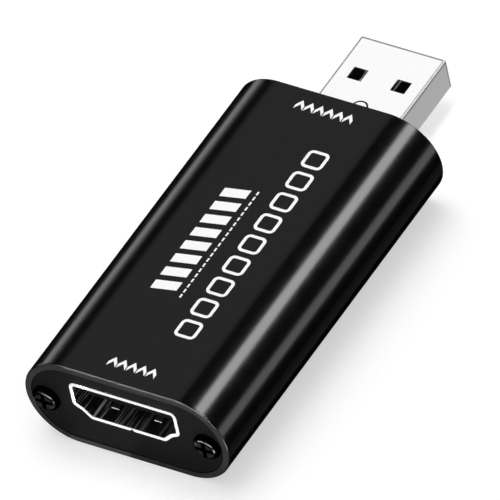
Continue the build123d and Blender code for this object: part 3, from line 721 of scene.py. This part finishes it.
def ink_mark(name, outer, hole, thickness):
    """Thin closed solid of ink on the housing's top, with a hole of as many points or none."""
    low, high = HOUSING_HIGH.z - INK_SINK, HOUSING_HIGH.z + thickness
    build = bmesh.new()
    rings = {}
    for place, outline in (("outer", outer), ("hole", hole)):
        for level in (low, high):
            rings[place, level] = [build.verts.new((x, y, level)) for x, y in outline]
    count = len(outer)
    for here in range(count):
        after = (here + 1) % count
        for place, order in (("outer", 1), ("hole", -1)):
            if not rings[place, low]:
                continue
            bottom, top = rings[place, low], rings[place, high]
            wall = [bottom[here], bottom[after], top[after], top[here]]
            build.faces.new(wall[::order])
        if hole:
            for level, order in ((high, 1), (low, -1)):
                out, into = rings["outer", level], rings["hole", level]
                cap = [out[here], out[after], into[after], into[here]]
                build.faces.new(cap[::order])
    if not hole:
        build.faces.new(rings["outer", high])
        build.faces.new(rings["outer", low][::-1])
    mesh = bpy.data.meshes.new(name)
    build.to_mesh(mesh)
    build.free()
    return linked(name, mesh)


def row_tree(ink):
    """Node tree that repeats the mark it is given along a straight row."""
    tree = bpy.data.node_groups.new("ink_row", "GeometryNodeTree")
    face = tree.interface
    face.new_socket("Mark", in_out="INPUT", socket_type="NodeSocketGeometry")
    face.new_socket("Count", in_out="INPUT", socket_type="NodeSocketInt")
    face.new_socket("Start", in_out="INPUT", socket_type="NodeSocketVector")
    face.new_socket("Step", in_out="INPUT", socket_type="NodeSocketVector")
    face.new_socket("Row", in_out="OUTPUT", socket_type="NodeSocketGeometry")
    given = tree.nodes.new("NodeGroupInput")
    made = tree.nodes.new("NodeGroupOutput")
    line = tree.nodes.new("GeometryNodeMeshLine")
    line.mode = "OFFSET"
    repeat = tree.nodes.new("GeometryNodeInstanceOnPoints")
    realize = tree.nodes.new("GeometryNodeRealizeInstances")
    coat = tree.nodes.new("GeometryNodeSetMaterial")
    coat.inputs["Material"].default_value = ink
    tree.links.new(given.outputs["Count"], line.inputs["Count"])
    tree.links.new(given.outputs["Start"], line.inputs["Start Location"])
    tree.links.new(given.outputs["Step"], line.inputs["Offset"])
    tree.links.new(line.outputs["Mesh"], repeat.inputs["Points"])
    tree.links.new(given.outputs["Mark"], repeat.inputs["Instance"])
    tree.links.new(repeat.outputs["Instances"], realize.inputs["Geometry"])
    tree.links.new(realize.outputs["Geometry"], coat.inputs["Geometry"])
    tree.links.new(coat.outputs["Geometry"], made.inputs["Row"])
    return tree


def ink_row(mark, count, middle, step):
    """Repeats a mark in a row about a middle, as one plain mesh that rides on the housing."""
    ink = bpy.data.materials.get("print_ink") or print_ink(bpy.context.scene.capture_finish)
    tree = bpy.data.node_groups.get("ink_row") or row_tree(ink)
    start = Vector((*middle, 0)) - Vector((*step, 0)) * (count - 1) / 2
    modifier = mark.modifiers.new("row", "NODES")
    modifier.node_group = tree
    items = tree.interface.items_tree
    sockets = {item.name: item.identifier for item in items if item.in_out == "INPUT"}
    modifier[sockets["Count"]] = count
    modifier[sockets["Start"]] = start
    modifier[sockets["Step"]] = Vector((*step, 0))
    settled = mark.evaluated_get(bpy.context.evaluated_depsgraph_get())
    mesh = bpy.data.meshes.new_from_object(settled)
    mark.modifiers.remove(modifier)
    mark.data = mesh
    if not mesh.polygons:
        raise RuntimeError(f"{mark.name} came out empty")
    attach(mark, BODY)


class PrintPortMarks(bpy.types.Operator):
    """Print a row of chevrons beside each connector, in the way the signal runs"""

    bl_idname = "capture_box.print_port_marks"
    bl_label = "Print Port Marks"

    def execute(self, context):
        sizes = context.scene.capture_print
        outline = chevron(sizes.chevron_width, sizes.chevron_height, sizes.chevron_stroke)
        step = (sizes.chevron_pitch, 0)
        socket_y = HOUSING_LOW.y + sizes.chevron_end_gap
        plug_y = HOUSING_HIGH.y - sizes.plug_chevron_gap
        for name, count, y in (
            ("socket_chevrons", sizes.socket_chevrons, socket_y),
            ("plug_chevrons", sizes.plug_chevrons, plug_y),
        ):
            mark = ink_mark(name, outline, [], sizes.ink_thickness)
            ink_row(mark, count, (sizes.chevron_middle, y), step)
        return {"FINISHED"}


class PrintBars(bpy.types.Operator):
    """Print the row of bold slanted bars"""

    bl_idname = "capture_box.print_bars"
    bl_label = "Print Bars"

    def execute(self, context):
        sizes = context.scene.capture_print
        outline = slanted_bar(sizes.bar_length, sizes.bar_width, sizes.bar_slant)
        mark = ink_mark("slanted_bars", outline, [], sizes.ink_thickness)
        ink_row(mark, sizes.bar_count, sizes.bar_place, (0, sizes.bar_pitch))
        return {"FINISHED"}


class PrintDashes(bpy.types.Operator):
    """Print the fine dashed line beside the bars"""

    bl_idname = "capture_box.print_dashes"
    bl_label = "Print Dashes"

    def execute(self, context):
        sizes = context.scene.capture_print
        outline = slanted_bar(sizes.dash_length, sizes.dash_width, 0)
        mark = ink_mark("fine_dashes", outline, [], sizes.ink_thickness)
        ink_row(mark, sizes.dash_count, sizes.dash_place, (0, sizes.dash_pitch))
        return {"FINISHED"}


class PrintWindows(bpy.types.Operator):
    """Print the row of outlined windows"""

    bl_idname = "capture_box.print_windows"
    bl_label = "Print Windows"

    def execute(self, context):
        sizes = context.scene.capture_print
        inner_side = sizes.window_side - 2 * sizes.window_stroke
        mark = ink_mark(
            "outlined_windows",
            rounded_square(sizes.window_side, sizes.window_corner),
            rounded_square(inner_side, sizes.window_corner - sizes.window_stroke),
            sizes.ink_thickness,
        )
        ink_row(mark, sizes.window_count, sizes.window_place, (0, sizes.window_pitch))
        return {"FINISHED"}


# Studio


class StageSettings(bpy.types.PropertyGroup):
    """Floor, lamps, cards and camera of the studio."""

    floor_side: length_setting("Floor side", "Side of the square floor", 8)
    floor_colour: colour_setting("Floor", "Colour of the floor", (0.56, 0.56, 0.56))
    floor_lift: share_setting(
        "Floor lift", "White that the floor shows to the camera and in reflections", 0.52
    )
    world_light: level_setting("World light", "Level of the light from all around", 0.50)
    key_level: level_setting("Key level", "Level that the soft lamp adds on an upward face", 0.55)
    key_side: length_setting("Key side", "Side of the soft lamp", 0.9)
    key_place: place_setting("Key place", "Middle of the soft lamp", (-0.25, 0.20, 1.1))
    card_radius: length_setting("Card radius", "Distance of strips and cards from the housing", 0.5)
    card_reach: length_setting("Card reach", "Half length of strips and cards", 1.4)
    upper_strip_level: level_setting(
        "Upper strip", "Brightness of the strip that lights the right shoulder", 24.5
    )
    left_strip_level: level_setting(
        "Left strip", "Brightness of the strip that lights the left shoulder", 1.95
    )
    side_strip_level: level_setting("Side strip", "Brightness of the low strip on the right", 3.85)
    side_strip_place: length_setting(
        "Side strip place", "Distance of the low strip from the middle", 51.4 * MM
    )
    side_strip_height: length_setting("Side strip height", "Height of the low strip", 13.4 * MM)
    edge_strip_level: level_setting(
        "Edge strip", "Brightness of the strip that draws the housing's front edge", 35
    )
    edge_strip_place: place_setting("Edge strip place", "Middle of the edge strip", (-0.30, -0.72, 0.58))
    edge_strip_size: place_setting("Edge strip size", "Width and height of the edge strip", (1.2, 0.42))
    front_strip_level: level_setting(
        "Front strip", "Brightness of the low strip that draws the screws' domes", 32
    )
    front_strip_place: place_setting(
        "Front strip place", "Middle of the front strip", (-3 * MM, -60 * MM, 3.6 * MM)
    )
    front_strip_size: place_setting(
        "Front strip size", "Width and height of the front strip", (50 * MM, 7 * MM)
    )
    camera_place: place_setting(
        "Camera place", "Where the camera stands", (1.226270, -1.493437, 1.865046)
    )
    camera_back: FloatVectorProperty(
        name="Camera back", description="Direction from the picture to the camera", subtype="XYZ", size=3,
        default=(0.457114, -0.558172, 0.692453),
    )
    camera_right: FloatVectorProperty(
        name="Camera right", description="Direction of the picture's right edge", subtype="XYZ", size=3,
        default=(0.852323, 0.497386, -0.161718),
    )
    camera_lens: FloatProperty(
        name="Lens", description="Focal length of the camera in millimetres", min=1, default=1612.2
    )


# Bent cards and strips by the turn from straight up to the right, in degrees, and a bent card's faces
DARK_CARDS = {"left_card": (-65, -42), "middle_card": (-19, 16), "right_card": (45, 82)}
UPPER_STRIP = (18.5, 39)
LEFT_STRIP = (-88, -72)
CARD_STEPS = 8

# Cards that lie on the floor, in millimetres: left, front, right and rear edge, and how bright they look
FLOOR_CARDS = {
    "right_floor_card": ((12, -1400, 50, 1400), 0),
    "left_floor_card": ((-400, -24, -16, 1400), 0),
    "front_left_card": ((-400, -41, -20, -24), 0),
    "rear_floor_card": ((-16, 46, 11, 800), 0),
    "front_floor_card": ((-400, -990, 400, -35.5), 0),
    "left_shade": ((-20, -28.5, -9.5, -25), 0),
    "right_shade": ((-1, -28.5, 12, -25), 0),
    "right_near_card": ((15.6, -400, 21.5, 400), 0.1),
    "plug_side_card": ((6.2, 27, 12, 50), 0.4),
    "left_screw_card": ((-20, -35.5, -14.4, -28.5), 0.42),
    "left_corner_card": ((-14.4, -31.2, -12, -28.5), 0.42),
    "right_screw_card": ((4.6, -35.5, 12, -28.5), 0.42),
    "right_glint_card": ((14, -40, 21, -33), 26),
}

# Upright cards, in millimetres: where the foot starts and ends, the heights, and how bright they look
UPRIGHT_CARDS = {
    "rear_card": ((-460, 400), (-100, 500), (0, 160), 0),
    "front_card": ((-1400, -1000), (1400, -1000), (0, 1800), 0),
    "left_glint_card": ((-8.95, -29.0), (-8.0, -28.6), (4.7, 5.7), 26),
}

# How high the black cards lie over the floor. The bright ones lie twice as high.
CARD_LIFT = 0.05 * MM

# Nearest and farthest distance that the camera sees, in metres
CAMERA_RANGE = (0.1, 20)


def sheet(name, points, faces, material):
    """A sheet for the stage."""
    mesh = bpy.data.meshes.new(name)
    mesh.from_pydata(points, [], faces)
    mesh.materials.append(material)
    return linked(name, mesh)


def seen_directly(tree):
    """One for what the camera sees itself, in a reflection or through glass, else zero."""
    path = tree.nodes.new("ShaderNodeLightPath")
    either = larger(tree, path.outputs["Is Camera Ray"], path.outputs["Is Glossy Ray"])
    return larger(tree, either, path.outputs["Is Transmission Ray"])


def floor_paint(settings):
    """Pale matt floor that keeps the box's shadow and shows a little extra white."""
    material, tree = new_finish("floor_paint", settings.floor_colour, roughness=0.9, specular=0)
    speckle = grain(tree, size=30 * MM)
    look(tree, colour=mottled(tree, speckle, settings.floor_colour, shades=(0.995, 1.005)))
    glow = tree.nodes.new("ShaderNodeEmission")
    lift = multiplied(tree, seen_directly(tree), settings.floor_lift)
    tree.links.new(lift, glow.inputs["Strength"])
    both = tree.nodes.new("ShaderNodeAddShader")
    tree.links.new(tree.nodes["Principled BSDF"].outputs["BSDF"], both.inputs[0])
    tree.links.new(glow.outputs["Emission"], both.inputs[1])
    tree.links.new(both.outputs["Shader"], tree.nodes["Material Output"].inputs["Surface"])
    return material


def light_world(settings):
    """White surroundings, and a plain level of light from all around."""
    world = bpy.data.worlds.new("studio")
    world.use_nodes = True
    tree = world.node_tree
    background = tree.nodes["Background"]
    background.inputs["Color"].default_value = WHITE
    strength = between(tree, seen_directly(tree), 0, 1, low=settings.world_light, high=1)
    tree.links.new(strength, background.inputs["Strength"])
    bpy.context.scene.world = world


def round_the_box(turn, radius, y):
    """Point at a turn from straight up to the right, at a radius about the housing's axis."""
    return Vector((radius * sin(turn), y, HOUSING_HIGH.z / 2 + radius * cos(turn)))


def only_reflected(thing):
    """Hides a lamp or card from all but reflections."""
    thing.visible_camera = False
    thing.visible_diffuse = False
    thing.visible_transmission = False
    thing.visible_shadow = False


def card_paper(name, brightness):
    """Matt black paper, or one that shows an even gray."""
    return new_finish(name, (0, 0, 0), roughness=1, specular=0, glow_colour=WHITE, glow=brightness)[0]


def set_card(name, points, faces, paper):
    """Card that shows only in reflections."""
    card = sheet(name, points, faces, paper)
    only_reflected(card)


def dark_card(name, span, settings, paper):
    """Black card bent about the housing, which darkens its reflections between two turns."""
    low, high = (radians(turn) for turn in span)
    points = []
    for step in range(CARD_STEPS + 1):
        turn = low + (high - low) * step / CARD_STEPS
        for y in (-settings.card_reach, settings.card_reach):
            points.append(round_the_box(turn, settings.card_radius, y))
    faces = [(first, first + 1, first + 3, first + 2) for first in range(0, 2 * CARD_STEPS, 2)]
    set_card(name, points, faces, paper)


def flat_cards():
    """Names, corners and brightness of the cards that lie on the floor or stand upright."""
    for name, ((left, front, right, rear), brightness) in FLOOR_CARDS.items():
        corners = ((left, front), (right, front), (right, rear), (left, rear))
        height = 2 * CARD_LIFT if brightness else CARD_LIFT
        yield name, [(x * MM, y * MM, height) for x, y in corners], brightness
    for name, (start, end, (foot, head), brightness) in UPRIGHT_CARDS.items():
        corners = ((*start, foot), (*end, foot), (*end, head), (*start, head))
        yield name, [Vector(corner) * MM for corner in corners], brightness


def lamp(name, place, target, size, brightness):
    """Rectangular lamp at a place that faces a target, with a given brightness of its face."""
    data = bpy.data.lights.new(name, "AREA")
    data.shape = "RECTANGLE"
    data.size, data.size_y = size
    data.energy = brightness * pi * size[0] * size[1]
    thing = linked(name, data)
    thing.location = place
    thing.rotation_euler = (Vector(target) - Vector(place)).to_track_quat("-Z", "Y").to_euler()
    thing.visible_camera = False
    return thing


def strip(name, span, level, settings):
    """Long lamp along the housing, seen only in reflections."""
    low, high = (radians(turn) for turn in span)
    turn = (low + high) / 2
    place = round_the_box(turn, settings.card_radius, 0)
    size = (settings.card_radius * (high - low), 2 * settings.card_reach)
    thing = lamp(name, place, (0, 0, HOUSING_HIGH.z / 2), size, level)
    outward = Vector((sin(turn), 0, cos(turn)))
    lengthwise = Vector((0, 1, 0))
    sideways = lengthwise.cross(outward)
    thing.rotation_euler = Matrix((sideways, lengthwise, outward)).transposed().to_euler()
    only_reflected(thing)


def standing_strips(settings):
    """Low strip on the right and two strips in front, seen only in reflections."""
    middle = settings.side_strip_height / 2
    side = lamp(
        "side_strip", (settings.side_strip_place, 0, middle), (0, 0, middle),
        (2 * settings.card_reach, settings.side_strip_height), settings.side_strip_level,
    )
    edge = lamp(
        "edge_strip", settings.edge_strip_place, (0, HOUSING_LOW.y, middle),
        settings.edge_strip_size, settings.edge_strip_level,
    )
    x, _, height = settings.front_strip_place
    front = lamp(
        "front_strip", settings.front_strip_place, (x, HOUSING_LOW.y, height),
        settings.front_strip_size, settings.front_strip_level,
    )
    for thing in (side, edge, front):
        only_reflected(thing)


def key_lamp(settings):
    """Soft lamp above, which doesn't show in reflections."""
    away = Vector(settings.key_place).length
    brightness = settings.key_level * pi * away**2 / settings.key_side**2
    size = (settings.key_side, settings.key_side)
    key = lamp("key", settings.key_place, (0, 0, 0), size, brightness)
    key.visible_glossy = False


def place_camera(settings):
    """Camera at the photographed angle, with a long lens."""
    data = bpy.data.cameras.new("camera")
    data.lens = settings.camera_lens
    data.clip_start, data.clip_end = CAMERA_RANGE
    back = Vector(settings.camera_back).normalized()
    up = back.cross(Vector(settings.camera_right)).normalized()
    right = up.cross(back)
    turned = Matrix((right, up, back)).transposed().to_4x4()
    camera = linked("camera", data)
    camera.matrix_world = Matrix.Translation(settings.camera_place) @ turned
    bpy.context.scene.camera = camera


class SetStage(bpy.types.Operator):
    """Make the floor, lamps, cards, world and camera"""

    bl_idname = "capture_box.set_stage"
    bl_label = "Set Stage"

    def execute(self, context):
        settings = context.scene.capture_stage
        half = settings.floor_side / 2
        corners = [(x * half, y * half, 0) for x, y in ((-1, -1), (1, -1), (1, 1), (-1, 1))]
        floor = sheet("floor", corners, [range(4)], floor_paint(settings))
        light_world(settings)
        key_lamp(settings)
        black = card_paper("card_black", 0)
        for name, span in DARK_CARDS.items():
            dark_card(name, span, settings, black)
        for name, corners, brightness in flat_cards():
            paper = card_paper(name, brightness) if brightness else black
            set_card(name, corners, [range(4)], paper)
        strip("upper_strip", UPPER_STRIP, settings.upper_strip_level, settings)
        strip("left_strip", LEFT_STRIP, settings.left_strip_level, settings)
        standing_strips(settings)
        place_camera(settings)
        context.scene.view_settings.view_transform = "Standard"
        return {"FINISHED"}


# Add-on

OPERATORS = (
    FinishHousing, FinishScrews, FinishVideoSocket, FinishPlug, FinishCircuitBoard,
    PrintPortMarks, PrintBars, PrintDashes, PrintWindows, SetStage,
)


class CaptureBoxPanel(bpy.types.Panel):
    """Lists the steps that dress the capture box"""

    bl_idname = "VIEW3D_PT_capture_box"
    bl_label = "Capture Box"
    bl_space_type = "VIEW_3D"
    bl_region_type = "UI"
    bl_category = "Capture Box"

    def draw(self, context):
        for operator in OPERATORS:
            self.layout.operator(operator.bl_idname)


SETTINGS = {
    "capture_finish": FinishSettings,
    "capture_print": PrintSettings,
    "capture_stage": StageSettings,
}


def register():
    """Adds the classes and the scene's settings."""
    for made in (*SETTINGS.values(), *OPERATORS, CaptureBoxPanel):
        bpy.utils.register_class(made)
    for name, group in SETTINGS.items():
        setattr(bpy.types.Scene, name, PointerProperty(type=group))


def unregister():
    """Takes them away again."""
    for name in SETTINGS:
        delattr(bpy.types.Scene, name)
    for made in (CaptureBoxPanel, *reversed(OPERATORS), *reversed(SETTINGS.values())):
        bpy.utils.unregister_class(made)


def main():
    """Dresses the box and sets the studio."""
    register()
    for operator in OPERATORS:
        group, name = operator.bl_idname.split(".")
        getattr(getattr(bpy.ops, group), name)()


if __name__ == "__main__":
    main()
